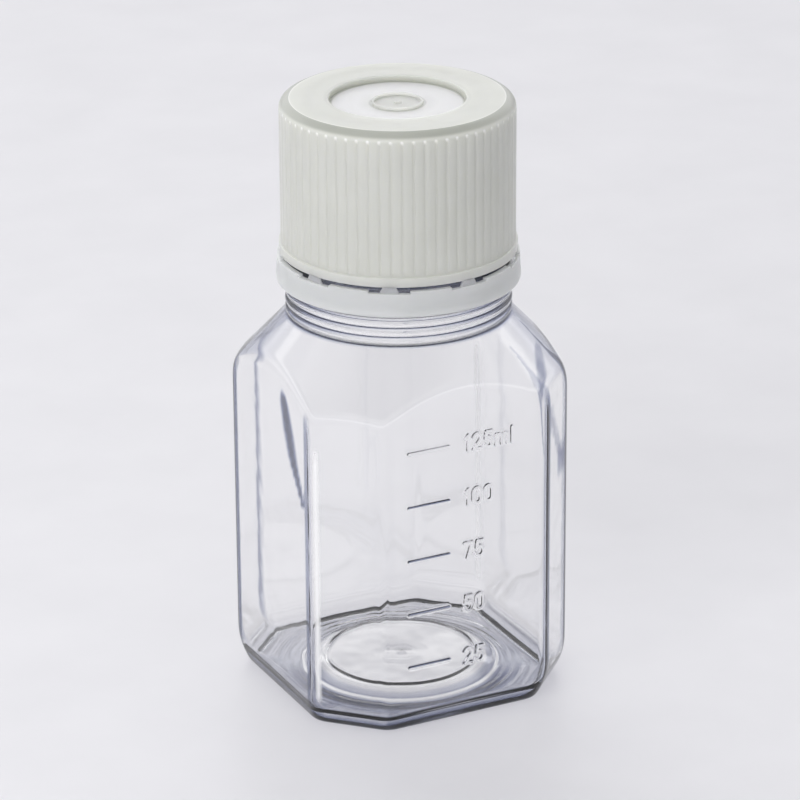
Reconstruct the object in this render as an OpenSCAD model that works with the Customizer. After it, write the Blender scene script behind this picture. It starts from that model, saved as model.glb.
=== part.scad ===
// Octagonal 125 ml bottle with a grooved screw cap and a tamper-evident band.
// Millimetres, +Z up. The origin is under the middle of the base, on the plane
// that the bottle stands on. The face that carries the volume marks looks along -Y.

/* [Bottle body] */
// Distance between two opposite wide faces
body_w = 52.4; // [46:0.2:60]
// Leg of the 45 degree flat that cuts each corner of the square
corner_leg = 9.7; // [7:0.1:13]
// Radius on the eight vertical edges
edge_r = 3; // [2:0.1:6]
// Thickness of the body's wall
wall = 0.7; // [0.5:0.05:1.2]
// Thickness of the floor
floor_t = 0.9; // [0.6:0.05:1.5]
// Height at which the wide faces start to curve in towards the foot
foot_h = 6.3; // [4:0.1:10]
// The same height on the four corner flats
corner_foot_h = 7.7; // [4:0.1:10]
// Radius of that curve
foot_bend_r = 13.6; // [11:0.1:20]
// Radius along the bottom edge of every face
foot_r = 1.4; // [1.2:0.1:2]

/* [Shoulder] */
// Height at which the round shoulder starts
shoulder_z = 56.5; // [46:0.1:62]
// How far the round shoulder would stand outside the sharp corners
round_margin = 0.5; // [0.2:0.1:1.5]
// Radius of the bend from the wall into the shoulder
bend_r = 8; // [5:0.5:12]
// Slope of the shoulder, measured from vertical
shoulder_angle = 43.2; // [36:0.1:50]

/* [Base] */
// Radius at which the floor leaves the standing ring
push_r = 18.6; // [16:0.1:21]
// Radius of the raised middle of the floor
push_flat_r = 13.8; // [10:0.1:14.8]
// Height of the raised middle over the standing ring
push_h = 1.9; // [0.8:0.1:2.5]
// Radius of the round moulding mark in the middle
gate_mark_r = 4; // [3:0.1:6]
// Height of the round moulding mark
gate_mark_h = 0.3; // [0.2:0.05:0.5]

/* [Neck] */
// Radius of the neck under the thread
neck_r = 17.9; // [16:0.1:20]
// Thickness of the neck's wall at the mouth
neck_t = 1.7; // [1.3:0.05:2.2]
// Radius of the rounding on the rim
rim_r = 0.8; // [0.4:0.05:0.85]
// Height of the thread over the neck
thread_depth = 0.9; // [0.7:0.05:1.2]
// Height of the step from the bead to the thread
neck_step_h = 3; // [2:0.1:5]
// How far the bead that holds the band down stands out past the thread
bead_proud = 1.8; // [1.4:0.1:2.4]
// Height of that bead
bead_h = 1.3; // [1:0.1:1.8]
// Depth of the groove under the bead, in which the band's lip runs
groove_depth = 1.6; // [1:0.1:2]
// How far the neck's root stands out past that groove
root_proud = 1.2; // [0.8:0.1:1.6]
// Thickness of the neck's wall behind the rings
throat_t = 1.6; // [1:0.1:2]
// Radius of the rounding of each ring under the band
neck_ring_r = 0.7; // [0.5:0.05:0.8]
// How far each ring stands out of the neck
neck_ring_proud = 0.4; // [0.2:0.05:0.45]
// Distance from one ring to the next
neck_ring_pitch = 1.7; // [1.6:0.05:2]
// Number of rings
neck_ring_count = 3; // [2:1:4]
// Height of the collar over the rings
collar_h = 0.9; // [0.5:0.1:1.5]

/* [Screw cap] */
// Height of the cap
cap_h = 28.3; // [26:0.1:32]
// Thickness of the skirt behind its grip
cap_t = 2.1; // [1.7:0.05:2.6]
// Radius of the bend from the grip to the top
cap_bend_r = 1.8; // [1:0.1:3]
// Thickness of the top under the recess
cap_top_t = 1.4; // [1:0.1:2]
// Radius of the recess in the top
recess_r = 12.3; // [10:0.1:15]
// Depth of the recess
recess_depth = 1.2; // [0.6:0.1:1.6]
// Outer radius of the ring in the recess
gate_ring_r = 4.65; // [3:0.05:6]
// Wall of that ring
gate_ring_t = 0.5; // [0.3:0.05:0.8]
// Height of that ring
gate_ring_h = 0.5; // [0.3:0.05:0.9]
// Radius of the nub inside the ring
gate_nub_r = 0.6; // [0.4:0.05:1]
// Height of that nub
gate_nub_h = 0.3; // [0.2:0.05:0.5]
// How far the cap's lower rim stands out past the grip
cap_rim_proud = 0.35; // [0.2:0.05:0.6]
// Height of the cap's lower rim
cap_rim_h = 1.8; // [1:0.1:3]
// Number of grip grooves
grip_count = 66; // [36:6:84]
// Radius of the round cutter of each groove
grip_cutter_r = 0.4; // [0.3:0.05:0.5]
// Depth of each groove
grip_depth = 0.25; // [0.15:0.01:0.28]
// Distance from the grooves' upper ends to the top of the cap
grip_end = 1.7; // [1.2:0.1:3]
// Radius of the bead that keeps the liner in the cap
liner_bead_r = 0.5; // [0.4:0.05:0.6]

/* [Tamper band] */
// Height of the band
band_h = 4.8; // [4:0.1:6]
// Thickness of the band at its upper edge
band_t = 1; // [0.8:0.05:1.4]
// How far the band's lower edge stands out past its upper edge
band_flare = 0.25; // [0.1:0.05:0.5]
// Radius of the rounding at the lower edge
band_round_r = 0.5; // [0.3:0.05:0.6]
// Height of the lip inside the band's lower edge
lip_h = 0.9; // [0.7:0.1:1.2]
// Width of the slit between the cap and the band
slit_h = 0.7; // [0.5:0.05:1]
// Number of bridges
bridge_count = 9; // [6:1:12]
// Turn of the first bridge about the axis, from the -Y direction
bridge_phase = 9; // [0:0.1:40]
// Width of each bridge at its foot
bridge_foot_w = 3.5; // [2.8:0.1:4.5]
// Width of each bridge at the cap
bridge_top_w = 2.3; // [1.5:0.1:2.7]
// Thickness of each bridge
bridge_t = 0.4; // [0.3:0.05:0.45]
// Angle of the notch round each bridge
notch_angle = 20; // [16:1:26]
// Depth of the notch round each bridge
notch_depth = 0.45; // [0.3:0.05:0.6]

/* [Cap liner] */
// Thickness of the sealing disc
liner_t = 1; // [0.6:0.1:1.4]

/* [Fits] */
// Gap between pieces that turn past each other
clearance = 0.3; // [0.2:0.05:0.35]

/* [Hidden] */

$fn = 96;
// A cutter runs this far past the face that it cuts
over = 1;
// Width of the small chamfers on the cap's rim and the band's lip
soft = 0.3;
// Heights above the shoulder are whole multiples of this, so that faces meet exactly
grain = 0.01;

// Body: a square with its corners cut, and true arcs on the eight vertical edges
half_w = body_w / 2;
flat_half = half_w - corner_leg;
corner_half = (half_w + flat_half) / sqrt(2);
arc_x = half_w - edge_r;
arc_y = flat_half - edge_r * tan(22.5);

// Radii of the neck, from its mouth outwards, and down to the shoulder
bore_r = neck_r - neck_t;
neck_step_r = neck_r + thread_depth;
bead_r = neck_step_r + bead_proud;
groove_r = bead_r - groove_depth;
neck_root_r = groove_r + root_proud;
throat_r = neck_root_r - throat_t;
collar_r = neck_root_r + neck_ring_proud;

// Radii of the cap, its liner and the band, from what they run round
cap_bore_r = neck_step_r + clearance;
liner_r = cap_bore_r - clearance;
cap_r = cap_bore_r + cap_t;
cap_rim_r = cap_r + cap_rim_proud;
lip_r = groove_r + clearance;
band_bore_r = bead_r + clearance;
bridge_r = band_bore_r + clearance;
band_top_r = band_bore_r + band_t;
band_low_r = band_top_r + band_flare;

// Shoulder: one profile turned round the axis, outside the sharp corners
round_r = sqrt(half_w * half_w + flat_half * flat_half) + round_margin;
bend_x = round_r - bend_r;
slope_x = bend_x + bend_r * cos(shoulder_angle);
slope_z = shoulder_z + bend_r * sin(shoulder_angle);
slope_end_z = slope_z + (slope_x - neck_root_r) / tan(shoulder_angle);

// Heights of the neck, from the shoulder up to the thread
neck_z = round(slope_end_z / grain) * grain;
collar_z = neck_z + neck_ring_count * neck_ring_pitch;
collar_top_z = collar_z + collar_h;
band_z = collar_top_z + clearance;
bead_z = band_z + lip_h + clearance;
step_z = bead_z + bead_h;
thread_z = step_z + neck_step_h;

// Heights of the band, the cap, its liner and the mouth
band_top_z = band_z + band_h;
bridge_z = band_top_z - notch_depth;
cap_z = band_top_z + slit_h;
cap_rim_z = cap_z + cap_rim_h;
cap_top_z = cap_z + cap_h;
grip_top_z = cap_top_z - grip_end;
recess_z = cap_top_z - recess_depth;
ceiling_z = recess_z - cap_top_t;
rim_z = ceiling_z - liner_t;
liner_bead_z = rim_z - liner_bead_r - clearance / 3;

// ---------------------------------------------------------------- bottle

// Plan of the body, "inset" inside its outer skin
module body_plan(inset) {
    r = edge_r - inset;
    polygon([for (turn = [0 : 90 : 270], side = [-1, 1])
        [arc_x * cos(turn) - side * arc_y * sin(turn),
         arc_x * sin(turn) + side * arc_y * cos(turn)]]);
    for (turn = [0 : 90 : 270]) rotate(turn) {
        for (side = [-1, 1]) translate([arc_x, side * arc_y]) circle(r);
        translate([arc_x - over, -arc_y]) square([r + over, 2 * arc_y]);
        rotate(45) corner_strip(r);
    }
}

// Strip behind one 45 degree flat, between its two corner arcs
module corner_strip(r) {
    reach = (arc_x + arc_y) / sqrt(2);
    side = (arc_x - arc_y) / sqrt(2);
    translate([reach - over, -side]) square([r + over, 2 * side]);
}

// Bar across the body for one pair of opposite faces. Below "curve_z" its sides curve
// in, and they end in a small radius on the bottom.
module foot_bar(half, curve_z, inset, bottom_z) {
    bend = foot_bend_r - inset;
    centre_x = half - foot_bend_r;
    r = foot_r - inset;
    drop = curve_z - bottom_z - r;
    foot_x = centre_x + sqrt((bend - r) * (bend - r) - drop * drop);
    meet_z = curve_z - bend * drop / (bend - r);
    rotate([90, 0, 0]) linear_extrude(height = 2 * round_r, center = true) {
        translate([inset - half, curve_z]) square([2 * (half - inset), neck_z]);
        translate([-foot_x, bottom_z]) square([2 * foot_x, curve_z]);
        for (side = [-1, 1]) {
            translate([side * foot_x, bottom_z + r]) circle(r);
            intersection() {
                translate([side * centre_x, curve_z]) circle(bend);
                translate([-half, meet_z]) square([2 * half, curve_z]);
            }
        }
    }
}

// Half section of the wall and the round shoulder
module round_section(inset) {
    bend = bend_r - inset;
    start_x = bend_x + bend * cos(shoulder_angle);
    start_z = shoulder_z + bend * sin(shoulder_angle);
    peak_z = start_z + start_x / tan(shoulder_angle);
    square([round_r - inset, shoulder_z]);
    intersection() {
        translate([bend_x, shoulder_z]) circle(bend);
        square([round_r, peak_z]);
    }
    polygon([[0, shoulder_z], [bend_x, shoulder_z], [start_x, start_z], [0, peak_z]]);
}

// Body with its foot and shoulder, "inset" inside the outer skin
module body_form(inset, bottom_z) {
    intersection() {
        linear_extrude(height = rim_z) body_plan(inset);
        rotate_extrude() round_section(inset);
        for (turn = [0, 90]) rotate(turn) foot_bar(half_w, foot_h, inset, bottom_z);
        for (turn = [45, 135]) rotate(turn) foot_bar(corner_half, corner_foot_h, inset, bottom_z);
    }
}

// Neck with its rings, collar, groove, bead and rounded rim
module neck_form() {
    rotate_extrude() {
        polygon([
            [0, neck_z - over], [neck_root_r, neck_z - over],
            [neck_root_r, collar_z], [collar_r, collar_z],
            [collar_r, collar_top_z], [groove_r, collar_top_z],
            [groove_r, bead_z], [bead_r, bead_z], [bead_r, bead_z + bead_h / 2],
            [neck_step_r, step_z], [neck_step_r, thread_z - thread_depth],
            [neck_r, thread_z], [neck_r, rim_z - rim_r],
            [neck_r - rim_r, rim_z - rim_r], [neck_r - rim_r, rim_z], [0, rim_z]]);
        translate([neck_r - rim_r, rim_z - rim_r]) circle(rim_r);
        for (ring = [0.5 : neck_ring_count])
            translate([collar_r - neck_ring_r, neck_z + ring * neck_ring_pitch])
                circle(neck_ring_r);
    }
}

// Bore of the mouth, and the wider throat behind the rings
module neck_bore() {
    rotate_extrude() polygon([
        [0, slope_z], [throat_r, slope_z], [throat_r, collar_z],
        [bore_r, bead_z], [bore_r, rim_z + over], [0, rim_z + over]]);
}

// Raised middle of the floor, lifted by "lift"
module push_up(lift) {
    rotate_extrude() polygon([
        [0, -over], [push_r, -over], [push_r, lift],
        [push_flat_r, push_h + lift], [0, push_h + lift]]);
}

module bottle() {
    color([0.86, 0.88, 0.93, 0.35]) {
        difference() {
            union() {
                body_form(0, 0);
                neck_form();
            }
            difference() {
                body_form(wall, floor_t);
                push_up(floor_t);
            }
            neck_bore();
            push_up(0);
        }
        translate([0, 0, push_h - gate_mark_h])
            cylinder(r = gate_mark_r, h = gate_mark_h + floor_t / 2);
    }
}

// ---------------------------------------------------------------- screw cap

// Half section of the cap without its grooves
module cap_section() {
    difference() {
        union() {
            translate([0, cap_z]) square([cap_r, cap_h - cap_bend_r]);
            translate([0, cap_z]) square([cap_r - cap_bend_r, cap_h]);
            translate([cap_r - cap_bend_r, cap_top_z - cap_bend_r]) circle(cap_bend_r);
            polygon([
                [0, cap_z], [cap_rim_r - soft, cap_z], [cap_rim_r, cap_z + soft],
                [cap_rim_r, cap_rim_z - soft], [cap_r, cap_rim_z], [0, cap_rim_z]]);
        }
        translate([-over, recess_z]) square([recess_r + over, recess_depth + over]);
        translate([-over, cap_z - over]) square([cap_bore_r + over, ceiling_z - cap_z + over]);
    }
    translate([gate_ring_r - gate_ring_t, recess_z - soft])
        square([gate_ring_t, gate_ring_h + soft]);
    translate([0, recess_z - soft]) square([gate_nub_r, gate_nub_h + soft]);
    intersection() {
        translate([cap_bore_r, liner_bead_z]) circle(liner_bead_r);
        translate([0, cap_z]) square([cap_r, cap_h]);
    }
}

// Cutter of one grip groove: a rod with tapered ends, at the front of the skirt
module grip_cutter() {
    length = grip_top_z - cap_rim_z;
    translate([cap_r + grip_cutter_r - grip_depth, 0, cap_rim_z])
        rotate_extrude() polygon([
            [0, 0], [grip_cutter_r, grip_cutter_r],
            [grip_cutter_r, length - grip_cutter_r], [0, length]]);
}

module screw_cap() {
    color([0.82, 0.84, 0.8]) difference() {
        rotate_extrude() cap_section();
        for (i = [0 : grip_count - 1]) rotate(i * 360 / grip_count) grip_cutter();
    }
}

// ---------------------------------------------------------------- tamper band

// Half section of the band, with the lip that catches under the neck's bead
module band_section() {
    polygon([
        [lip_r, band_z + soft], [lip_r + soft, band_z], [band_low_r - band_round_r, band_z],
        [band_low_r - band_round_r, band_z + band_round_r], [band_low_r, band_z + band_round_r],
        [band_top_r, band_top_z], [band_bore_r, band_top_z],
        [band_bore_r, band_z + lip_h], [lip_r, band_z + lip_h]]);
    translate([band_low_r - band_round_r, band_z + band_round_r]) circle(band_round_r);
}

// Wedge from the axis outwards, for the notch round one bridge
module notch_wedge() {
    reach = 2 * band_low_r;
    side = reach * tan(notch_angle / 2);
    translate([0, 0, bridge_z]) linear_extrude(height = band_h)
        polygon([[0, 0], [side, -reach], [-side, -reach]]);
}

// One bridge: a thin curved web, wide at its foot and narrow at the cap
module bridge() {
    intersection() {
        translate([0, 0, band_z]) difference() {
            cylinder(r = bridge_r + bridge_t / 2, h = cap_z - band_z);
            translate([0, 0, -over])
                cylinder(r = bridge_r - bridge_t / 2, h = cap_z - band_z + 2 * over);
        }
        rotate([90, 0, 0]) linear_extrude(height = 2 * band_low_r) polygon([
            [-bridge_foot_w / 2, bridge_z - soft], [bridge_foot_w / 2, bridge_z - soft],
            [bridge_foot_w / 2, bridge_z], [bridge_top_w / 2, cap_z],
            [-bridge_top_w / 2, cap_z], [-bridge_foot_w / 2, bridge_z]]);
    }
}

module tamper_band() {
    color([0.8, 0.84, 0.82]) {
        difference() {
            rotate_extrude() band_section();
            for (i = [0 : bridge_count - 1])
                rotate(bridge_phase + i * 360 / bridge_count) notch_wedge();
        }
        for (i = [0 : bridge_count - 1])
            rotate(bridge_phase + i * 360 / bridge_count) bridge();
    }
}

// ---------------------------------------------------------------- cap liner

module cap_liner() {
    color([0.93, 0.93, 0.92])
        translate([0, 0, rim_z]) cylinder(r = liner_r, h = liner_t);
}

bottle();
screw_cap();
cap_liner();
tamper_band();
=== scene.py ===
"""Clear eight-sided 125 ml bottle with a grooved screw cap and a tamper-evident band."""
import math

import bpy
import numpy as np
from mathutils import Matrix, Vector, geometry


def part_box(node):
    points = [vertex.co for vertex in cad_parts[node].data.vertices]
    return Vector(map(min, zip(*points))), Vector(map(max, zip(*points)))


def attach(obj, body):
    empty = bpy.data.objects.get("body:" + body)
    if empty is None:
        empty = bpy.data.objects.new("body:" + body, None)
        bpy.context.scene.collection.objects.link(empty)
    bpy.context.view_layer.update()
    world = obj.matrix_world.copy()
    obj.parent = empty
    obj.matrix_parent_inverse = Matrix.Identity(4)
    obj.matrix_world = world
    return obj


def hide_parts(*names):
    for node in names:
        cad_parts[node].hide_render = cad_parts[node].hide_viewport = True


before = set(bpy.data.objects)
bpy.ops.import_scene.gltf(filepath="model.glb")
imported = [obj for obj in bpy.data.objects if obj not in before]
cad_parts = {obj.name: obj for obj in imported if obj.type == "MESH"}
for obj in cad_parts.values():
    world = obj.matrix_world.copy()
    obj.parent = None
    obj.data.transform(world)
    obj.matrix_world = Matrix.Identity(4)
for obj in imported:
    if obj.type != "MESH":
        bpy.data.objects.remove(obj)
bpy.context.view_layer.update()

# ------------------------------------------------------------ sizes, from the frame
_, bottle_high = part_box("bottle")
cap_low, cap_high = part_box("screw_cap")
band_low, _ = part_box("tamper_band")
_, liner_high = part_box("cap_liner")

HALF_W = bottle_high.x              # middle of the body to a wide face
MM = HALF_W / 26.2                  # one millimetre of the design, in frame units
VIEW_AZIMUTH = 333.462              # where the camera stands, in degrees round from -Y
VIEW_FROM = math.radians(VIEW_AZIMUTH - 90)      # the same round from +X

# The body: wide faces, cut corners, upright edges that get rounder at the foot
WALL, FLOOR = 0.7 * MM, 0.9 * MM
CORNER_LEG = 9.7 * MM
FLAT_HALF = HALF_W - CORNER_LEG
CORNER_HALF = (HALF_W + FLAT_HALF) / math.sqrt(2)
EDGE_R, EDGE_R_FOOT, EDGE_RUN = 3 * MM, 4.2 * MM, 10 * MM
EDGE_R_PER_INSET = 1.3              # how fast the edges get sharper with the inset
FOOT_H, CORNER_FOOT_H = 6.3 * MM, 7.7 * MM
FOOT_BEND_R, FOOT_R = 13.6 * MM, 1.4 * MM
HEEL_R = 3.4 * MM                   # inside, where the wall runs into the floor
PUSH_R, PUSH_FLAT_R, PUSH_H = 18.6 * MM, 13.8 * MM, 1.9 * MM      # the raised floor
GATE_R, GATE_H, GATE_SLOPE = 4 * MM, 0.06 * MM, 1.2 * MM
POLE_R = 0.4 * MM                   # last row round each pole
RIPPLE_H, RIPPLE_PITCH = 0.07 * MM, 1.9 * MM
RIDGES = ((13.9, 0.42, 0.17), (17.7, 0.5, 0.15))      # inner floor: radius, width, height, mm
WALL_LOW_Z, WALL_HIGH_Z = 8.5 * MM, 55 * MM           # the rows are further apart between these

# The neck, from the rim down to the shoulder
RIM_Z = bottle_high.z
BAND_Z = band_low.z
STEP_R = liner_high.x               # crest of the thread, as wide as the liner
NECK_R = STEP_R - 0.9 * MM
BORE_R = NECK_R - 1.7 * MM
BEAD_R = STEP_R + 1.8 * MM
GROOVE_R = BEAD_R - 1.6 * MM
ROOT_R = GROOVE_R + 1.2 * MM
THROAT_R = ROOT_R - 1.6 * MM
COLLAR_R = ROOT_R + 0.4 * MM
RING_R, RING_PITCH, RINGS = 0.7 * MM, 1.7 * MM, 3
COLLAR_TOP_Z = BAND_Z - 0.3 * MM
COLLAR_Z = COLLAR_TOP_Z - 0.9 * MM
NECK_Z = COLLAR_Z - RINGS * RING_PITCH
BEAD_Z = BAND_Z + 1.2 * MM
STEP_Z = BEAD_Z + 1.3 * MM
THREAD_Z = STEP_Z + 3 * MM
RIM_ROUND = 0.8 * MM
THREAD_LEAD, THREAD_HALF, THREAD_FLANK = 4.2 * MM, 1.15 * MM, 0.7 * MM
THREAD_START = THREAD_Z + 2 * MM
THREAD_TURNS = (RIM_Z - THREAD_Z - 6 * MM) / THREAD_LEAD
THREAD_FADE = 0.08                  # of a turn, at either end

# The shoulder: an arc, then a cone up to the neck
BEND_R = 8 * MM
SLOPE = math.radians(43.2)
ROUND_R = math.hypot(HALF_W, FLAT_HALF) + 0.5 * MM
BEND_X = ROUND_R - BEND_R
SHOULDER_Z = (NECK_Z - BEND_R * math.sin(SLOPE)
              - (BEND_X + BEND_R * math.cos(SLOPE) - ROOT_R) / math.tan(SLOPE))
SHOULDER_BLEND = 1.1 * MM           # softness of the arches where it meets the faces
EVEN_Z = SHOULDER_Z + 6 * MM        # from here up the columns spread evenly


# ------------------------------------------------------------ the bottle's form
def smooth_min(a, b, width):
    """The smaller of two values, blended where they are close."""
    h = np.clip(0.5 + 0.5 * (b - a) / width, 0, 1)
    return b * (1 - h) + a * h - width * h * (1 - h)


def ease(t):
    """Smooth step from 0 to 1."""
    t = np.clip(t, 0, 1)
    return t * t * (3 - 2 * t)


def foot(half, curve_z, inset, z):
    """Distance of a face from the axis at height z, with its foot curved in."""
    bend, r, x = FOOT_BEND_R - inset, max(FOOT_R - inset, 0.5 * MM), half - FOOT_BEND_R
    drop = curve_z - r
    foot_x = x + math.sqrt((bend - r) ** 2 - drop ** 2)
    if z >= curve_z:
        return half - inset
    if z >= curve_z - bend * drop / (bend - r):
        return x + math.sqrt(bend ** 2 - (curve_z - z) ** 2)
    return foot_x + math.sqrt(max(r ** 2 - (r - z) ** 2, 0))


def octagon(phi, wide, corner, r):
    """Distance of a rounded octagon from the axis in the directions phi."""
    normals = np.radians(np.arange(0, 360, 45))
    reach = np.array([wide, corner] * 4)
    cosine = np.cos(phi[:, None] - normals)
    towards = 0.3                   # faces that look further away than this are left out
    out = np.min(np.where(cosine > towards, reach / np.maximum(cosine, towards), np.inf), axis=1)
    # Rounded edges, where a ray meets one of the eight arcs
    d = np.c_[np.cos(phi), np.sin(phi)]
    for k in range(8):
        a, b = normals[k], normals[k] + math.pi / 4
        n = np.array([[math.cos(a), math.sin(a)], [math.cos(b), math.sin(b)]])
        v = np.linalg.solve(n, [reach[k] - r, reach[(k + 1) % 8] - r])
        along, across = d @ v, d[:, 0] * v[1] - d[:, 1] * v[0]
        ray = along + np.sqrt(np.maximum(r * r - across ** 2, 0))
        turn = (np.arctan2(*(d * ray[:, None] - v).T[::-1]) - a) % (2 * math.pi)
        out = np.where((np.abs(across) <= r) & (along > 0) & (turn <= math.pi / 4), ray, out)
    return out


def shoulder(inset, z):
    """Radius of the turned form that cuts the faces off at the top."""
    bend = BEND_R - inset
    if z <= SHOULDER_Z:
        return ROUND_R - inset
    if z <= SHOULDER_Z + bend * math.sin(SLOPE):
        return BEND_X + math.sqrt(bend ** 2 - (z - SHOULDER_Z) ** 2)
    rise = z - SHOULDER_Z - bend * math.sin(SLOPE)
    return BEND_X + bend * math.cos(SLOPE) - rise * math.tan(SLOPE)


def body(phi, z, inset=0.0):
    """Distance of the body's skin from the axis in the directions phi, at height z."""
    r = EDGE_R + (EDGE_R_FOOT - EDGE_R) * ease(1 - z / EDGE_RUN) - EDGE_R_PER_INSET * inset
    plan = octagon(phi, foot(HALF_W, FOOT_H, inset, z),
                   foot(CORNER_HALF, CORNER_FOOT_H, inset, z), r)
    return smooth_min(plan, np.full_like(plan, shoulder(inset, z)), SHOULDER_BLEND)


# Columns: a wide face, an arc, a corner flat, an arc, four times round
FACE_COLS = 41
ARC_X, ARC_Y = HALF_W - EDGE_R, FLAT_HALF - EDGE_R * math.tan(math.pi / 8)
SIDE = (ARC_X - ARC_Y) / math.sqrt(2)           # half the flat part of a corner face
turn45 = math.sqrt(0.5)
edge_arc = [(ARC_X + EDGE_R * math.cos(a), ARC_Y + EDGE_R * math.sin(a))
            for a in np.radians(np.linspace(0, 45, 9)[1:-1])]
quarter = [(HALF_W, y) for y in np.linspace(-ARC_Y, ARC_Y, FACE_COLS)] + edge_arc
quarter += [((CORNER_HALF - s) * turn45, (CORNER_HALF + s) * turn45)
            for s in np.linspace(-SIDE, SIDE, 17)]
quarter += [(y, x) for x, y in reversed(edge_arc)]
first = np.array([math.atan2(y, x) for x, y in quarter])
PHI = np.concatenate([first + k * math.pi / 2 for k in range(4)])
COLS = len(PHI)
EVEN = PHI[0] + np.arange(COLS) * 2 * math.pi / COLS


ARC_SHARE, ARC_SUPPORT = 0.42, 1.1      # most of a side that an arc takes; support point


def fillet(points, radius, steps=5):
    """A polyline with its inner corners rounded, and a support point beside each arc."""
    out = [np.array(points[0], float)]
    for p, q, r in zip(points, points[1:], points[2:]):
        p, q, r = (np.array(v, float) for v in (p, q, r))
        a, b = p - q, r - q
        la, lb = np.linalg.norm(a), np.linalg.norm(b)
        a, b = a / la, b / lb
        half = math.acos(max(-1, min(1, float(a @ b)))) / 2
        cut = min(radius / math.tan(half), ARC_SHARE * la, ARC_SHARE * lb)
        arc_r = cut * math.tan(half)
        centre = q + (a + b) / np.linalg.norm(a + b) * arc_r / math.sin(half)
        s, e = q + a * cut - centre, q + b * cut - centre
        t0 = math.atan2(s[1], s[0])
        dt = (math.atan2(e[1], e[0]) - t0 + math.pi) % (2 * math.pi) - math.pi
        out.append(q + a * cut * ARC_SUPPORT)
        out += [centre + arc_r * np.array([math.cos(t0 + dt * k / steps),
                                           math.sin(t0 + dt * k / steps)])
                for k in range(steps + 1)]
        out.append(q + b * cut * ARC_SUPPORT)
    return out + [np.array(points[-1], float)]


def directions(z):
    """The columns' directions: spread evenly from the round part of the shoulder up."""
    return PHI + (EVEN - PHI) * ease((z - EVEN_Z) / (NECK_Z - EVEN_Z))


def ring_row(r, z):
    phi = directions(z)
    return np.c_[r * np.cos(phi), r * np.sin(phi), np.full(COLS, z)]


def body_row(z, inset=0.0):
    return ring_row(body(directions(z), z, inset), z)


def runs(start, *ends):
    """Heights spread evenly from start to each end in turn, start itself left out."""
    out = []
    for end, count in ends:
        out += list(np.linspace(start, end, count)[1:])
        start = end
    return out


rows = []
# Underside: gate disc, raised middle, cone, standing ring
under = fillet([(POLE_R, PUSH_H - GATE_H), (GATE_R - GATE_SLOPE, PUSH_H - GATE_H),
                (GATE_R + GATE_SLOPE, PUSH_H), (PUSH_FLAT_R, PUSH_H),
                (PUSH_R, 0), (PUSH_R + 1.6 * MM, 0)], 1.1 * MM)
rows += [ring_row(r, z) for r, z in under]
foot_edge = body(PHI, 0)
standing_r = under[-1][0]
rows += [ring_row(standing_r * (1 - t) + foot_edge * t, 0) for t in (0.35, 0.7, 0.93, 1)]
# Outside of the body
z_foot = [FOOT_R * (1 - math.cos(a)) for a in np.radians(np.arange(12, 84, 9))]
z_outer = z_foot + runs(z_foot[-1], (WALL_LOW_Z, 16), (WALL_HIGH_Z, 32), (NECK_Z, 52))[:-1]
first_wall_row = len(rows)
rows += [body_row(z) for z in z_outer]
# Neck: rings, collar, groove for the band, bead, step
ring_reach = COLLAR_R - RING_R
ring_half = math.acos((ROOT_R - ring_reach) / RING_R)
neck = [(ROOT_R, NECK_Z)]
for k in range(RINGS):
    ring_z = NECK_Z + (k + 0.5) * RING_PITCH
    neck += [(ring_reach + RING_R * math.cos(a), ring_z + RING_R * math.sin(a))
             for a in np.linspace(-ring_half, ring_half, 9)]
neck += fillet([(ROOT_R, COLLAR_Z - 0.1 * MM), (ROOT_R, COLLAR_Z), (COLLAR_R, COLLAR_Z),
                (COLLAR_R, COLLAR_TOP_Z), (GROOVE_R, COLLAR_TOP_Z), (GROOVE_R, BEAD_Z),
                (BEAD_R, BEAD_Z), (BEAD_R, BEAD_Z + 0.65 * MM), (STEP_R + 0.7 * MM, STEP_Z),
                (STEP_R, STEP_Z + 1.7 * MM), (STEP_R, THREAD_Z - 0.9 * MM),
                (NECK_R, THREAD_Z), (NECK_R, THREAD_Z + 0.4 * MM)], 0.18 * MM, 4)
rows += [ring_row(r, z) for r, z in neck]
# Thread, as a helical wave of the rows, and the rim
for z in np.arange(THREAD_Z + 0.7 * MM, RIM_Z - RIM_ROUND - 0.2 * MM, 0.3 * MM):
    along = (z - THREAD_START) / THREAD_LEAD - EVEN / (2 * math.pi)
    off = np.abs(along - np.round(along)) * THREAD_LEAD
    crest = (STEP_R - NECK_R) * ease((THREAD_HALF - off) / THREAD_FLANK)
    fade = ease(along / THREAD_FADE) * ease((THREAD_TURNS - along) / THREAD_FADE)
    rows.append(ring_row(NECK_R + crest * fade, z))
rows += [ring_row(NECK_R - RIM_ROUND + RIM_ROUND * math.cos(a),
                  RIM_Z - RIM_ROUND + RIM_ROUND * math.sin(a))
         for a in np.radians(np.linspace(0, 90, 8))]
first_inner_row = len(rows)
# Bore, inside of the shoulder, and wall
inner_bend_z = SHOULDER_Z + (BEND_R - WALL) * math.sin(SLOPE)
throat_z = inner_bend_z + (shoulder(WALL, inner_bend_z) - THROAT_R) / math.tan(SLOPE)
slope_z = throat_z - 2 * MM
bore = fillet([(NECK_R - RIM_ROUND - 0.1 * MM, RIM_Z), (BORE_R, RIM_Z), (BORE_R, BEAD_Z),
               (THROAT_R, COLLAR_Z), (THROAT_R, throat_z),
               (shoulder(WALL, slope_z), slope_z)], 0.6 * MM)
rows += [ring_row(r, z) for r, z in bore]
inner_top_z = slope_z - 0.3 * MM
z_inner = [inner_top_z] + runs(inner_top_z, (WALL_HIGH_Z, 40), (WALL_LOW_Z, 32),
                               (FLOOR + HEEL_R, 12))
rows += [body_row(z, WALL) for z in z_inner]
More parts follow.
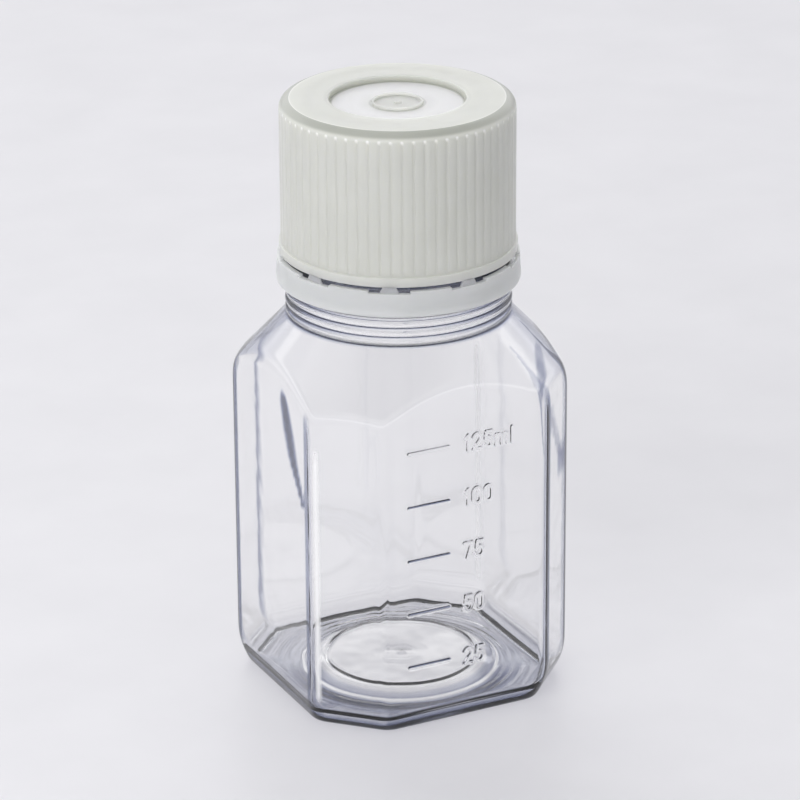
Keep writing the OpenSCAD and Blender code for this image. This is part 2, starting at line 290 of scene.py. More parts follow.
# Heel, rippled ring of the inner floor, cone and raised middle with its ridges
for a in np.radians(np.linspace(0, 90, 14)[1:]):
    z = FLOOR + HEEL_R * (1 - math.sin(a))
    heel = body(PHI, max(z, FOOT_R), WALL) - HEEL_R * (1 - math.cos(a))
    rows.append(ring_row(heel, z))
top = fillet([(PUSH_R + 0.5 * MM, FLOOR), (PUSH_R, FLOOR), (PUSH_FLAT_R, PUSH_H + FLOOR),
              (POLE_R, PUSH_H + FLOOR)], 1.8 * MM, 6)
for t in np.linspace(0, 1, 14)[1:-1]:
    r = heel * (1 - t) + top[0][0] * t
    wave = 1 - np.cos(2 * math.pi * (r - PUSH_R) / RIPPLE_PITCH)
    ripple = RIPPLE_H * ease(4 * t) * ease(4 - 4 * t) * wave
    rows.append(np.c_[ring_row(r, 0)[:, :2], FLOOR + ripple])
top_r, top_z = np.array(top)[::-1].T
for r in np.r_[np.arange(top[0][0], 12 * MM, -0.2 * MM),
               GATE_R + 0.8 * MM, GATE_R, GATE_R - 0.8 * MM, POLE_R]:
    ridge = sum(h * math.exp(-((r / MM - at) / w) ** 2) for at, w, h in RIDGES)
    rows.append(ring_row(r, np.interp(r, top_r, top_z) + ridge * MM))

# ------------------------------------------------------------ the plastic's three masks of painted shade and light
# Strengths of the painted shades, darkest where the skin is seen edge on, and of the painted lines
# of light. A SPAN is a range of heights as window() takes it.
NECK_SHADE, EDGE_SHADE, BACK_EDGE_SHADE, ARCH_SHADE = 1.25, 1.4, 0.3, 0.85
STREAK_Z = np.array([41, 43, 46, 50, 55, 60, 64]) * MM       # painted shade: dark streak under the shoulder
STREAK_Y = np.array([13.9, 13.4, 11.9, 9.7, 8.0, 6.4, 5.4]) * MM
STREAK_W = np.array([1.1, 1.5, 2.3, 3.1, 3.5, 2.9, 0.5]) * MM
STREAK_SHADE, STREAK_SPAN = 1.6, (STREAK_Z[0], 2 * MM, STREAK_Z[-1], 3 * MM)
CORNER_SHADE, CORNER_SPAN = 1.15, (39 * MM, 5 * MM, 51 * MM, 5 * MM)
LIGHT_SPAN, LIGHT_BACK = (4 * MM, 3 * MM, 56 * MM, 4 * MM), 0.6
FOOT_SHADE_H = 7 * MM
FLOOR_SHADE_R = PUSH_R + 4 * MM
GATE_SHADE, GATE_SHADE_R = 0.405, 2.9 * MM
LIGHT_RINGS, LIGHT_RING_W = (14.7 * MM, 17.9 * MM), 0.25 * MM


def window(x, low, run_in, high, run_out):
    """0 outside low to high and 1 between them, with soft ends of the given lengths."""
    return ease((x - low) / run_in) * ease((high - x) / run_out)


def stripe(off, width, core=1.4):
    """1 where off is near 0, and 0 from core widths away."""
    return ease(core - np.abs(off) / width)


def upright_masks(x, y, z, phi, wide, across, far, inner):
    """Painted shade and painted light along the upright edges, the streaks and the arches of the
    shoulder.
    """
    # Painted shade on the edges, from 1.5 mm inside the flat part of a face; paler at the back on
    # the right
    edge = ease((far + 1.5 * MM) / (0.9 * MM)) * ease(z / (4 * MM))
    edge *= np.where((x > np.abs(y)) & (y > 0), BACK_EDGE_SHADE, EDGE_SHADE)
    # The painted shade of the streaks under the shoulder, on the front half of the two side faces,
    # and of the one on the corner face between +X and -Y
    off = np.abs(across - np.interp(z, STREAK_Z, STREAK_Y))
    streak = STREAK_SHADE * ease(1.5 - 1.5 * off / np.interp(z, STREAK_Z, STREAK_W))
    streak = np.maximum(edge, streak * window(z, *STREAK_SPAN))
    edge = np.where(wide & (y < 0) & (np.abs(x) > np.abs(y)), streak, edge)
    corner = CORNER_SHADE * ease((x + y + 2 * MM) / (3 * MM)) * window(z, *CORNER_SPAN)
    edge = np.maximum(edge, np.where(~wide & (x > 0) & (y < 0), corner, 0))
    # Painted shade on the arches, where the shoulder cuts the faces
    if z > SHOULDER_Z - 6 * MM:
        plan = octagon(phi, HALF_W, CORNER_HALF, EDGE_R)
        arch = ease(0.4 + (plan - shoulder(0, z)) / (1.2 * MM))
        edge = np.maximum(edge, ARCH_SHADE * arch)
    if inner:
        return edge, np.zeros(COLS)
    # Lines of light on the outer skin, beside the edges of three corner faces
    unlit = wide | (y > 0) & (x < 0) | (np.abs(x) < np.abs(y))
    bright = np.where(unlit, 0, stripe(far - 0.2 * MM, 0.45 * MM))
    bright *= np.where(y > 0, LIGHT_BACK, 1)
    return edge, bright * window(z, *LIGHT_SPAN)


def foot_masks(r, z, phi, wide, inner, edge):
    """Painted shade of the foot and the floor, stronger on the camera's side."""
    front = 0.5 + 0.5 * np.cos(phi - VIEW_FROM)
    # Painted shade on the skin round the raised floor, paler inside near the wall
    rim = ease(1 - z / FOOT_SHADE_H) * ease((r - PUSH_FLAT_R - 0.6 * MM) / (2 * MM))
    inner_floor = np.where(inner & (r > FLOOR_SHADE_R), 0.75, 1)
    edge = np.maximum(edge, (1.5 - 0.7 * (1 - front)) * rim * inner_floor)
    dark = 0.28 * ease(2 * front - 0.7) * rim * ease((FLOOR_SHADE_R - r) / (2 * MM))
    if not inner:                   # a band of shade round the foot, and a ring in the gate mark
        foot_band = ease(1.5 - z / (2.4 * MM)) * ease((r - PUSH_R - 3 * MM) / MM)
        dark = np.maximum(dark, np.where(wide, 0.3 + 0.2 * front, 0.3) * foot_band)
        dark = np.maximum(dark, GATE_SHADE * stripe(r - GATE_SHADE_R, MM, 1.5))
    return edge, dark


def layers(row, inner):
    """Per point of a row: painted shade where the skin is seen edge on, painted shade from all
    sides, painted line of light.
    """
    x, y, z = row[:, 0], row[:, 1], row[0, 2]
    r, phi = np.hypot(x, y), np.arctan2(y, x)
    turn = (phi + math.pi / 4) % (math.pi / 2) - math.pi / 4      # from the middle of a wide face
    wide = np.abs(turn) < math.atan2(FLAT_HALF, HALF_W)
    across = r * np.sin(np.where(wide, np.abs(turn), math.pi / 4 - np.abs(turn)))
    far = across - np.where(wide, ARC_Y, SIDE)                    # beyond the face's flat part
    edge, dark, bright = np.zeros(COLS), np.zeros(COLS), np.zeros(COLS)
    if z > NECK_Z:
        # painted shade on the neck where it is seen edge on
        edge += NECK_SHADE
    elif z > 2 * MM:
        edge, bright = upright_masks(x, y, z, phi, wide, across, far, inner)
    if z < FOOT_SHADE_H:
        edge, dark = foot_masks(r, z, phi, wide, inner, edge)
    if inner and z < PUSH_H + 1.5 * FLOOR:      # rings of light on the inner floor
        ring = np.maximum(*(stripe(r - at, LIGHT_RING_W) for at in LIGHT_RINGS))
        edge *= 1 - 0.9 * ring
        dark *= 1 - 0.9 * ring
        bright = np.maximum(bright, 0.7 * ring)
    if z > NECK_Z - 0.4 * MM and not inner:     # shade behind the band's slit and in the rings
        dark += stripe(z - STEP_Z - 1.1 * MM, 1.6 * MM, 1.6)
        if z < COLLAR_Z + 0.3 * MM:
            wave = math.cos(2 * math.pi * (z - NECK_Z) / RING_PITCH)
            dark += 0.6 * (0.5 + 0.5 * wave) ** 3
            # painted light on the crests of the rings, with less painted shade there
            crest = ease((-0.55 - wave) / 0.4)
            edge *= 1 - 0.75 * crest
            bright += 0.4 * crest
    return np.c_[edge, dark, bright]


# ------------------------------------------------------------ raised marks and numbers
def arc(cx, cy, rx, ry, a, b, n=10):
    """Points of an ellipse from a to b degrees."""
    return [(cx + rx * math.cos(t), cy + ry * math.sin(t))
            for t in np.radians(np.linspace(a, b, n))]


# Each glyph's strokes in a box one unit high, and its width
GLYPHS = {
    "0": ([arc(0.26, 0.72, 0.26, 0.28, 0, 180) + arc(0.26, 0.28, 0.26, 0.28, 180, 360)
           + [(0.52, 0.72)]], 0.52),
    "1": ([[(0.06, 0.8), (0.26, 1), (0.26, 0)]], 0.34),
    "2": ([arc(0.26, 0.73, 0.25, 0.27, 165, -25) + [(0.02, 0), (0.53, 0)]], 0.53),
    "5": ([[(0.49, 1), (0.1, 1), (0.05, 0.55)] + arc(0.25, 0.32, 0.27, 0.32, 125, -150, 14)], 0.52),
    "7": ([[(0, 1), (0.52, 1), (0.2, 0)]], 0.52),
    "m": ([[(0, 0), (0, 0.68)], arc(0.2, 0.48, 0.2, 0.2, 180, 0, 8) + [(0.4, 0)],
           arc(0.6, 0.48, 0.2, 0.2, 180, 0, 8) + [(0.8, 0)]], 0.8),
    "l": ([[(0.05, 1), (0.05, 0)]], 0.1),
}
LABELS = ("25", "50", "75", "100", "125ml")
MARK_X0, MARK_X1 = -11.34 * MM, -3.43 * MM
MARK_Z0, MARK_STEP = 12.83 * MM, 10.46 * MM
TEXT_X, TEXT_H, TEXT_GAP = -0.3 * MM, 2.95 * MM, 0.75 * MM
STROKE_R, STROKE_TOP, STROKE_H = 0.46 * MM, 0.2 * MM, 0.36 * MM
FINE, COARSE = 0.11 * MM, 0.7 * MM              # spacing of points on strokes and between them
MARK_SHADE, MARK_SHADE_SPAN = 0.85, (0, 0.1 * MM, 0.42 * MM, 0.1 * MM)    # upper half
SHADED_MARKS = 4                                # the highest one stays light

strokes = []
for k, label in enumerate(LABELS):
    z = MARK_Z0 + k * MARK_STEP
    strokes.append([(MARK_X0, z), (MARK_X1, z)])
    pen = TEXT_X
    for c in label:
        lines, width = GLYPHS[c]
        strokes += [[(pen + u * TEXT_H, z + (v - 0.5) * TEXT_H) for u, v in line] for line in lines]
        pen += width * TEXT_H + TEXT_GAP


def stroke_height(points):
    """Relief at points of the mark face, and their distance from the nearest stroke."""
    best = np.full(len(points), 9.0)
    for line in strokes:
        for a, b in zip(line, line[1:]):
            a, d = np.array(a), np.subtract(b, a)
            t = np.clip(((points - a) @ d) / (d @ d), 0, 1)
            best = np.minimum(best, np.linalg.norm(points - a - t[:, None] * d, axis=1))
    return STROKE_H * ease((STROKE_R - best) / (STROKE_R - STROKE_TOP)), best


def add_object(name, verts, faces):
    mesh = bpy.data.meshes.new(name)
    mesh.from_pydata([tuple(v) for v in verts], [], faces)
    mesh.update()
    obj = bpy.data.objects.new(name, mesh)
    bpy.context.collection.objects.link(obj)
    return obj


def add_mask(obj, name, values):
    layer = obj.data.attributes.new(name, "FLOAT", "POINT")
    layer.data.foreach_set("value", np.array(values, np.float32))


# The mark face is the one that looks along -Y: its columns come first in the last quarter.
# A patch of it, as wide and high as the marks and numbers, is left out for finer faces.
face_cols = list(range(3 * COLS // 4, 3 * COLS // 4 + FACE_COLS))
grid_x = np.array([HALF_W * math.tan(PHI[c] - 1.5 * math.pi) for c in face_cols])
lo_col = int(np.searchsorted(grid_x, MARK_X0 - 0.9 * MM)) - 1
hi_col = int(np.searchsorted(grid_x, TEXT_X + 11.2 * MM))
patch_low_z, patch_high_z = MARK_Z0 - 2.6 * MM, MARK_Z0 + 4 * MARK_STEP + 2.4 * MM
lo_row = first_wall_row + int(np.searchsorted(z_outer, patch_low_z)) - 1
hi_row = first_wall_row + int(np.searchsorted(z_outer, patch_high_z))
cols = face_cols[lo_col:hi_col + 1]

verts = np.vstack(rows)
faces = []
patch_rows, patch_cols = range(lo_row, hi_row), set(cols[:-1])
for j in range(len(rows) - 1):
    for c in range(COLS):
        if j in patch_rows and c in patch_cols:
            continue
        n = (c + 1) % COLS
        faces.append((j * COLS + c, j * COLS + n, (j + 1) * COLS + n, (j + 1) * COLS + c))
# Poles
poles = np.array([[0, 0, PUSH_H - GATE_H], [0, 0, PUSH_H + FLOOR - 0.1 * MM]])
last = (len(rows) - 1) * COLS
bottom_pole, top_pole = len(verts), len(verts) + 1
faces += [(bottom_pole, (c + 1) % COLS, c) for c in range(COLS)]
faces += [(top_pole, last + c, last + (c + 1) % COLS) for c in range(COLS)]
verts = np.vstack([verts, poles])
# Fine patch with the strokes
loop = [lo_row * COLS + c for c in cols]
loop += [j * COLS + cols[-1] for j in range(lo_row + 1, hi_row + 1)]
loop += [hi_row * COLS + c for c in cols[-2::-1]]
loop += [j * COLS + cols[0] for j in range(hi_row - 1, lo_row, -1)]
rim_xy = verts[loop][:, [0, 2]]
(x0, z0), (x1, z1) = rim_xy.min(axis=0), rim_xy.max(axis=0)
fine = []
for k, z in enumerate(np.arange(z0 + FINE, z1 - FINE, FINE * math.sqrt(0.75))):
    xs = np.arange(x0 + FINE * (1 + 0.5 * (k % 2)), x1 - FINE, FINE)
    fine.append(np.c_[xs, np.full(len(xs), z)])
fine = np.vstack(fine)
height, off = stroke_height(fine)
keep = off < STROKE_R + 0.16 * MM
coarse = np.array([(x, z) for x in np.arange(x0 + 0.5 * MM, x1 - 0.4 * MM, COARSE)
                   for z in np.arange(z0 + 0.5 * MM, z1 - 0.4 * MM, COARSE)])
coarse = coarse[stroke_height(coarse)[1] > STROKE_R + 0.4 * MM]
marked = np.vstack([fine[keep], coarse])
relief = np.concatenate([height[keep], np.zeros(len(coarse))])
flat = [Vector(p) / MM for p in np.vstack([rim_xy, marked])]
_, _, triangles, origins, _, _ = geometry.delaunay_2d_cdt(
    flat, [], [list(range(len(loop)))], 0, 1e-5)
source = [origin[0] for origin in origins]
index = loop + list(range(len(verts), len(verts) + len(marked)))
verts = np.vstack([verts, np.c_[marked[:, 0], -HALF_W - relief, marked[:, 1]]])
for triangle in triangles:
    corners = tuple(index[source[v]] for v in triangle)
    if len(set(corners)) == 3:
        faces.append(corners)

bottle = add_object("bottle_shell", verts, faces)
bottle.data.shade_smooth()
values = np.zeros((len(verts), 3), np.float32)
values[:len(rows) * COLS] = np.vstack(
    [layers(row, k >= first_inner_row) for k, row in enumerate(rows)])
on_mark = (marked[:, 0] > MARK_X0 - 0.3 * MM) & (marked[:, 0] < MARK_X1 + 0.3 * MM)
for k in range(SHADED_MARKS):
    above = marked[:, 1] - MARK_Z0 - k * MARK_STEP
    values[-len(marked):, 1] += MARK_SHADE * window(above, *MARK_SHADE_SPAN) * on_mark
for k, name in enumerate(("edge", "shade", "glint")):
    add_mask(bottle, name, values[:, k])
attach(bottle, "bottle")
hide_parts("bottle")


# ------------------------------------------------------------ the cap
CAP_Z, CAP_TOP_Z = cap_low.z, cap_high.z
CAP_RIM_R, CAP_RIM_Z = cap_high.x, CAP_Z + 1.8 * MM
CAP_R = CAP_RIM_R - 0.35 * MM
CAP_BORE_R = CAP_R - 2.1 * MM
CAP_BEND_R, CAP_BEND = 1.8 * MM, math.radians(72)
CAP_FLAT_R = CAP_R - CAP_BEND_R
RECESS_R, RECESS_Z, RECESS_RING_R = 12.3 * MM, CAP_TOP_Z - 1.2 * MM, 4.65 * MM
RECESS_RING_Z, PIP_Z = RECESS_Z + 0.5 * MM, RECESS_Z + 0.3 * MM
RECESS_RIM_Z = CAP_TOP_Z - 0.05 * MM
CEILING_Z = liner_high.z
GRIPS, GRIP_HALF, GRIP_DEPTH = 66, 0.42 * MM, 0.15 * MM
GRIP_TOP_Z = CAP_TOP_Z - 1.3 * MM
CAP_POLE_R = 0.05 * MM

offsets = np.array([-0.42, -0.3, -0.15, 0, 0.15, 0.3, 0.42, 1.0]) * MM / CAP_R
CAP_PHI = np.concatenate([k * 2 * math.pi / GRIPS + offsets for k in range(GRIPS)])
CAP_COLS = len(CAP_PHI)
groove_form = np.cos(np.pi * np.clip(np.abs(offsets) * CAP_R / GRIP_HALF, 0, 1))
GROOVE = np.tile(0.5 + 0.5 * groove_form, GRIPS)


def cap_row(r, z, groove=0.0):
    reach = r - GRIP_DEPTH * groove * GROOVE
    return np.c_[reach * np.cos(CAP_PHI), reach * np.sin(CAP_PHI), np.full(CAP_COLS, z)]


def shaded(points, light_and_shade):
    """Outline points without a groove, all at one level of painted light and shade."""
    return [(r, z, 0, light_and_shade) for r, z in points]


# (radius, height, groove, level of painted light and shade): 0.5 is the plastic's own colour;
# lower, where it is thick, is painted shade; higher, where the liner backs it, is painted light
outline = shaded(fillet([(CAP_POLE_R, PIP_Z), (0.6 * MM, PIP_Z), (0.75 * MM, RECESS_Z),
                        (RECESS_RING_R - 0.62 * MM, RECESS_Z)], 0.12 * MM, 3), 0.42)
outline += shaded(fillet([(RECESS_RING_R - 0.56 * MM, RECESS_Z),
                         (RECESS_RING_R - 0.5 * MM, RECESS_Z),
                         (RECESS_RING_R - 0.46 * MM, RECESS_RING_Z),
                         (RECESS_RING_R - 0.04 * MM, RECESS_RING_Z),
                         (RECESS_RING_R, RECESS_Z),
                         (RECESS_RING_R + 0.3 * MM, RECESS_Z)], 0.1 * MM, 3), 0.38)
outline += shaded([(5.3 * MM, RECESS_Z)], 0.75)
outline += shaded([(r * MM, RECESS_Z) for r in (7.5, 9.5, 11.5)], 0.9)
outline += shaded(fillet([(11.9 * MM, RECESS_Z), (RECESS_R - 0.05 * MM, RECESS_Z),
                         (RECESS_R, RECESS_RIM_Z), (RECESS_R + 0.5 * MM, RECESS_RIM_Z)],
                        0.14 * MM, 4), 0.36)
outline += shaded([(r * MM, RECESS_RIM_Z) for r in (13.3, 14.8, 16.3)], 0.46)
outline += shaded([(r * MM, CAP_TOP_Z) for r in (16.7, 17.8, 18.7)], 0.46)
outline += shaded([(CAP_FLAT_R - 0.25 * MM, CAP_TOP_Z)], 0.48)
# Painted highlight along the outer edge of the top
outline += shaded([(CAP_FLAT_R - 0.05 * MM, CAP_TOP_Z)], 0.8)
# The bend round the top, darkened towards the top by painted shade
for a in np.linspace(CAP_BEND, 0, 19):
    r = CAP_R - CAP_BEND_R * (1 - math.cos(a)) / (1 - math.cos(CAP_BEND))
    z = CAP_TOP_Z - CAP_BEND_R * (1 - math.sin(a) / math.sin(CAP_BEND))
    groove = float(ease((GRIP_TOP_Z - z) / (0.45 * MM)))
    light_and_shade = 0.5 - 0.34 * float(ease((a - 0.3) / 0.35))
    outline.append((r, z - 0.02 * MM * (a > 1.2), groove, light_and_shade))
outline += [(CAP_R, z, 1, 0.5) for z in np.linspace(CAP_TOP_Z - 2.2 * MM, CAP_RIM_Z + 0.9 * MM, 9)]
outline += [(CAP_R, CAP_RIM_Z + up * MM, groove, 0.5)
            for up, groove in ((0.6, 0.8), (0.35, 0.35), (0.15, 0))]
outline += shaded(fillet([(CAP_R, CAP_RIM_Z + 0.1 * MM), (CAP_R, CAP_RIM_Z),
                         (CAP_RIM_R, CAP_RIM_Z - 0.12 * MM), (CAP_RIM_R, CAP_Z),
                         (CAP_BORE_R, CAP_Z), (CAP_BORE_R, CEILING_Z),
                         (CAP_POLE_R, CEILING_Z)], 0.2 * MM, 4), 0.5)

cap_verts = np.vstack([cap_row(r, z, groove) for r, z, groove, light_and_shade in outline]
                      + [[[0, 0, PIP_Z], [0, 0, CEILING_Z]]])
cap_faces = [(j * CAP_COLS + c, (j + 1) * CAP_COLS + c,
              (j + 1) * CAP_COLS + (c + 1) % CAP_COLS, j * CAP_COLS + (c + 1) % CAP_COLS)
             for j in range(len(outline) - 1) for c in range(CAP_COLS)]
pip_pole, ceiling_pole = len(cap_verts) - 2, len(cap_verts) - 1
last = (len(outline) - 1) * CAP_COLS
cap_faces += [(pip_pole, c, (c + 1) % CAP_COLS) for c in range(CAP_COLS)]
cap_faces += [(ceiling_pole, last + (c + 1) % CAP_COLS, last + c) for c in range(CAP_COLS)]
cap = add_object("cap_shell", cap_verts, cap_faces)
cap.data.shade_smooth()
# Painted highlights at the top ends of the grooves
lights_and_shades = []
for r, z, _, light_and_shade in outline:
    groove_end = stripe(z - GRIP_TOP_Z + 0.3 * MM, 0.3 * MM, 1.2) * (r > CAP_BORE_R + MM)
    lights_and_shades.append(light_and_shade + 0.7 * GROOVE * groove_end)
add_mask(cap, "light_and_shade", np.append(np.concatenate(lights_and_shades), [0.42, 0.5]))
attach(cap, "cap")
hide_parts("screw_cap")


# ------------------------------------------------------------ materials
def material(name, **values):
    m = bpy.data.materials.new(name)
    m.use_nodes = True
    shader = m.node_tree.nodes["Principled BSDF"]
    for key, value in values.items():
        shader.inputs[key.replace("_", " ")].default_value = value
    return m, m.node_tree.nodes, m.node_tree.links, shader


def feed(links, value, socket):
    """Give a socket a link, a colour or a number."""
    if isinstance(value, tuple):
        socket.default_value = (*value, 1)
    elif isinstance(value, (int, float)):
        socket.default_value = value
    else:
        links.new(value, socket)


def noise(nodes, links, scale, detail):
    texture = nodes.new("ShaderNodeTexNoise")
    texture.inputs["Scale"].default_value = scale
    texture.inputs["Detail"].default_value = detail
    place = nodes.new("ShaderNodeTexCoord")
    links.new(place.outputs["Object"], texture.inputs["Vector"])
    return texture.outputs["Fac"]


def mask(nodes, name):
    node = nodes.new("ShaderNodeAttribute")
    node.attribute_name = name
    return node.outputs["Fac"]


def maths(nodes, links, operation, *values):
    node = nodes.new("ShaderNodeMath")
    node.operation = operation
    for value, socket in zip(values, node.inputs):
        feed(links, value, socket)
    return node.outputs["Value"]


def mix(nodes, links, fac, a, b, blend="MIX"):
    node = nodes.new("ShaderNodeMix")
    node.data_type, node.blend_type = "RGBA", blend
    for value, name in ((fac, "Factor"), (a, "A"), (b, "B")):
        feed(links, value, node.inputs[name])
    return node.outputs["Result"]


def ramp(nodes, links, source, stops):
    node = nodes.new("ShaderNodeValToRGB")
    while len(node.color_ramp.elements) < len(stops):
        node.color_ramp.elements.new(0.5)
    for element, (place, colour) in zip(node.color_ramp.elements, stops):
        element.position, element.color = place, (*colour, 1)
    links.new(source, node.inputs["Fac"])
    return node.outputs["Color"]


def bump(nodes, links, source, strength, distance, shader):
    node = nodes.new("ShaderNodeBump")
    node.inputs["Strength"].default_value = strength
    node.inputs["Distance"].default_value = distance
    links.new(source, node.inputs["Height"])
    links.new(node.outputs["Normal"], shader.inputs["Normal"])


def paint(obj, m):
    obj.data.materials.clear()
    obj.data.materials.append(m)


# Clear PET: faintly lilac, with painted shade where it is seen edge on, and opaque in its painted
# lines of light
pet, nodes, links, shader = material("clear_pet", Transmission_Weight=1.0, IOR=1.575,
                                     Roughness=0.015)
facing = nodes.new("ShaderNodeLayerWeight")
facing.inputs["Blend"].default_value = 0.5
edge_mask = mask(nodes, "edge")
darkness = maths(nodes, links, "MULTIPLY_ADD",
                 facing.outputs["Facing"], edge_mask, mask(nodes, "shade"))
# a faint tint of the plastic, deepened by the masks into painted shade
tint_and_shade = ramp(nodes, links, darkness, [
    (0, (1, 1, 1)), (0.36, (0.97, 0.97, 0.975)), (0.6, (0.46, 0.49, 0.6)),
    (0.85, (0.1, 0.12, 0.23)), (1, (0.012, 0.014, 0.025))])
clearness = maths(nodes, links, "MULTIPLY_ADD", mask(nodes, "glint"), -0.75, 1)
links.new(clearness, shader.inputs["Transmission Weight"])
links.new(tint_and_shade, shader.inputs["Base Color"])
bump(nodes, links, noise(nodes, links, 90, 2), 0.18, 0.0004, shader)
# Shadow and diffuse rays go straight through, so that the floor under the bottle stays lit
clear = nodes.new("ShaderNodeBsdfTransparent")
shadow = ramp(nodes, links, edge_mask, [(0.3, (0.985, 0.985, 0.985)), (1, (0.86, 0.86, 0.88))])
links.new(shadow, clear.inputs["Color"])
path, surface = nodes.new("ShaderNodeLightPath"), nodes.new("ShaderNodeMixShader")
passes = maths(nodes, links, "MAXIMUM",
               path.outputs["Is Shadow Ray"], path.outputs["Is Diffuse Ray"])
links.new(passes, surface.inputs["Fac"])
links.new(shader.outputs["BSDF"], surface.inputs[1])
links.new(clear.outputs["BSDF"], surface.inputs[2])
links.new(surface.outputs["Shader"], nodes["Material Output"].inputs["Surface"])
absorb = nodes.new("ShaderNodeVolumeAbsorption")
absorb.inputs["Color"].default_value = (0.56, 0.56, 0.58, 1)
absorb.inputs["Density"].default_value = 25
links.new(absorb.outputs["Volume"], nodes["Material Output"].inputs["Volume"])
paint(bottle, pet)


def polyethylene(name, low, high, rough, shaded=False):
    """Milky plastic or foam, clouded between two colours, with the cap's mask of painted light and
    shade if asked.
    """
    m, nodes, links, shader = material(name, Subsurface_Weight=1.0, Subsurface_Scale=0.005,
                                       IOR=1.5, Roughness=rough)
    shader.inputs["Subsurface Radius"].default_value = (1.0, 1.0, 0.9)
    colour = ramp(nodes, links, noise(nodes, links, 90, 4), [(0.3, low), (0.7, high)])
    if shaded:
        # painted shade and painted light from the cap's mask
        light_and_shade = ramp(nodes, links, mask(nodes, "light_and_shade"), [
            (0, (0.4, 0.41, 0.4)), (0.5, (0.8, 0.8, 0.8)), (1, (1.15, 1.14, 1.17))])
        colour = mix(nodes, links, 1, colour, light_and_shade, "MULTIPLY")
    links.new(colour, shader.inputs["Base Color"])
    return m


cap_material = polyethylene("natural_polyethylene", (0.78, 0.79, 0.73), (0.83, 0.84, 0.78), 0.3,
                            shaded=True)
band_material = polyethylene("natural_band", (0.66, 0.69, 0.66), (0.71, 0.73, 0.70), 0.3)
liner_material = polyethylene("liner_foam", (0.78, 0.78, 0.76), (0.84, 0.84, 0.82), 0.6)
paint(cap, cap_material)
paint(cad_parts["tamper_band"], band_material)
paint(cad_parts["cap_liner"], liner_material)

# ------------------------------------------------------------ floor, light, camera
scene = bpy.context.scene
FLOOR_Z = -0.08 * MM                # just clear of the bottle, so that light gets between
FLOOR_HALF = 8                      # metres
floor = add_object("floor", [(x, y, FLOOR_Z) for x, y in (
    (-FLOOR_HALF, -FLOOR_HALF), (FLOOR_HALF, -FLOOR_HALF),
    (FLOOR_HALF, FLOOR_HALF), (-FLOOR_HALF, FLOOR_HALF))], [(0, 1, 2, 3)])
floor_material, nodes, links, shader = material("pale_floor", Roughness=0.45)
floor_colour = ramp(nodes, links, noise(nodes, links, 40, 4), [
    (0.3, (0.76, 0.755, 0.78)), (0.7, (0.79, 0.785, 0.81))])
links.new(floor_colour, shader.inputs["Base Color"])
paint(floor, floor_material)

# The room: pale to the camera, with bright and dark bands by height for what the plastic
# mirrors and refracts, and a soft light from behind for everything else
PALE = (0.78, 0.775, 0.82)
BAND_LOW, BAND_HIGH = (0.08, 0.095, 0.17), (0.05, 0.06, 0.11)
BEHIND = (0.447, 0.894, 0)          # level, away from the camera
world = bpy.data.worlds.new("studio")
world.use_nodes = True
scene.world = world
nodes, links = world.node_tree.nodes, world.node_tree.links
ray = nodes.new("ShaderNodeTexCoord").outputs["Generated"]
split = nodes.new("ShaderNodeSeparateXYZ")
links.new(ray, split.inputs["Vector"])
mirrored = ramp(nodes, links, split.outputs["Z"], [
    (0.0, PALE), (0.14, PALE), (0.2, (1.5, 1.5, 1.54)), (0.55, (1.4, 1.4, 1.44)),
    (0.72, (0.15, 0.15, 0.16)), (1.0, (0.12, 0.12, 0.13))])
refracted = ramp(nodes, links, split.outputs["Z"], [
    (0.0, PALE), (0.2, PALE), (0.25, BAND_LOW), (0.31, BAND_LOW),
    (0.35, (1.5, 1.5, 1.5)), (0.42, (1.5, 1.5, 1.5)), (0.46, BAND_HIGH), (0.56, BAND_HIGH),
    (0.64, (1.2, 1.2, 1.2)), (0.78, (1.1, 1.1, 1.1)), (0.88, (0.12, 0.12, 0.15)),
    (1.0, (0.1, 0.1, 0.12))])
behind = nodes.new("ShaderNodeVectorMath")
behind.operation = "DOT_PRODUCT"
links.new(ray, behind.inputs[0])
behind.inputs[1].default_value = BEHIND
diffuse = ramp(nodes, links, behind.outputs["Value"], [
    (0, (0.42, 0.42, 0.43)), (0.8, (1.0, 1.0, 1.02))])
path = nodes.new("ShaderNodeLightPath")
sky = mix(nodes, links, path.outputs["Is Glossy Ray"], diffuse, mirrored)
sky = mix(nodes, links, path.outputs["Is Transmission Ray"], sky, refracted)
sky = mix(nodes, links, path.outputs["Is Camera Ray"], sky, PALE)
links.new(sky, nodes["Background"].inputs["Color"])


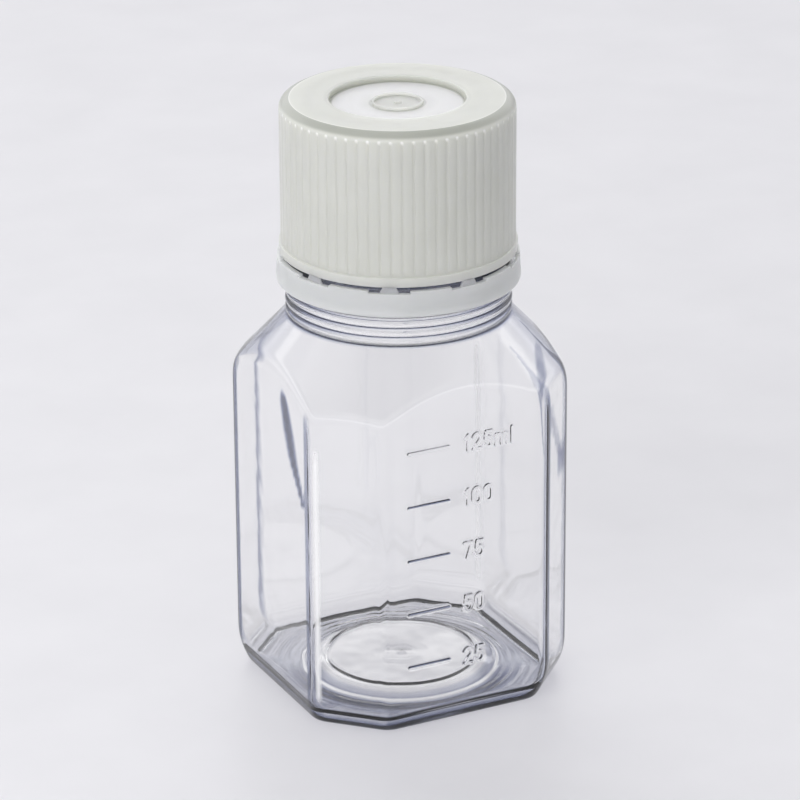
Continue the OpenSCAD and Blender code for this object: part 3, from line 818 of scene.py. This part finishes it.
def softbox(name, azimuth, elevation, distance, size, power):
    """A lamp that looks at the middle of the bottle, at azimuth degrees round from the camera."""
    a, e = math.radians(VIEW_AZIMUTH + azimuth), math.radians(elevation)
    lamp = bpy.data.lights.new(name, "AREA")
    lamp.shape, lamp.size, lamp.size_y, lamp.energy = "RECTANGLE", size[0], size[1], power
    obj = bpy.data.objects.new(name, lamp)
    back = Vector((math.sin(a) * math.cos(e), -math.cos(a) * math.cos(e), math.sin(e)))
    obj.location = Vector((0, 0, RIM_Z / 2)) + back * distance
    obj.rotation_euler = (-back).to_track_quat("-Z", "Y").to_euler()
    obj.visible_glossy = obj.visible_transmission = False
    bpy.context.collection.objects.link(obj)


softbox("key", -28, 36, 0.9, (0.7, 0.5), 4.3)
softbox("fill", -100, 25, 1.0, (0.4, 0.6), 0.3)
softbox("back", 195, 52, 1.1, (0.8, 0.4), 3.0)

# The camera: about 769 mm from a point on the axis, with a long lens and a slight roll
CAMERA_BACK, CAMERA_UP, LENS = 711.2 * MM, 345.07 * MM, 189.038
turn, tilt, yaw, roll = (math.radians(v) for v in (26.538, 22.298, 0.009, -0.378))
forward = Vector((math.sin(yaw) * math.cos(tilt), math.cos(yaw) * math.cos(tilt), -math.sin(tilt)))
right = Vector((math.cos(yaw), -math.sin(yaw), 0))
up = right.cross(forward)
right, up = (right * math.cos(roll) + up * math.sin(roll),
             up * math.cos(roll) - right * math.sin(roll))
round_axis = Matrix.Rotation(-turn, 3, "Z")
axes = round_axis @ Matrix((right, up, -forward)).transposed()
camera_data = bpy.data.cameras.new("camera")
camera_data.sensor_width, camera_data.lens = 36, LENS
camera_data.clip_start, camera_data.clip_end = 0.01, 50
camera = bpy.data.objects.new("camera", camera_data)
bpy.context.collection.objects.link(camera)
camera_at = round_axis @ Vector((0, -CAMERA_BACK, CAMERA_UP))
camera.matrix_world = Matrix.Translation(camera_at) @ axes.to_4x4()
scene.camera = camera

scene.view_settings.view_transform = "Standard"
scene.cycles.max_bounces = 24
scene.cycles.transmission_bounces = 20
scene.cycles.transparent_max_bounces = 16
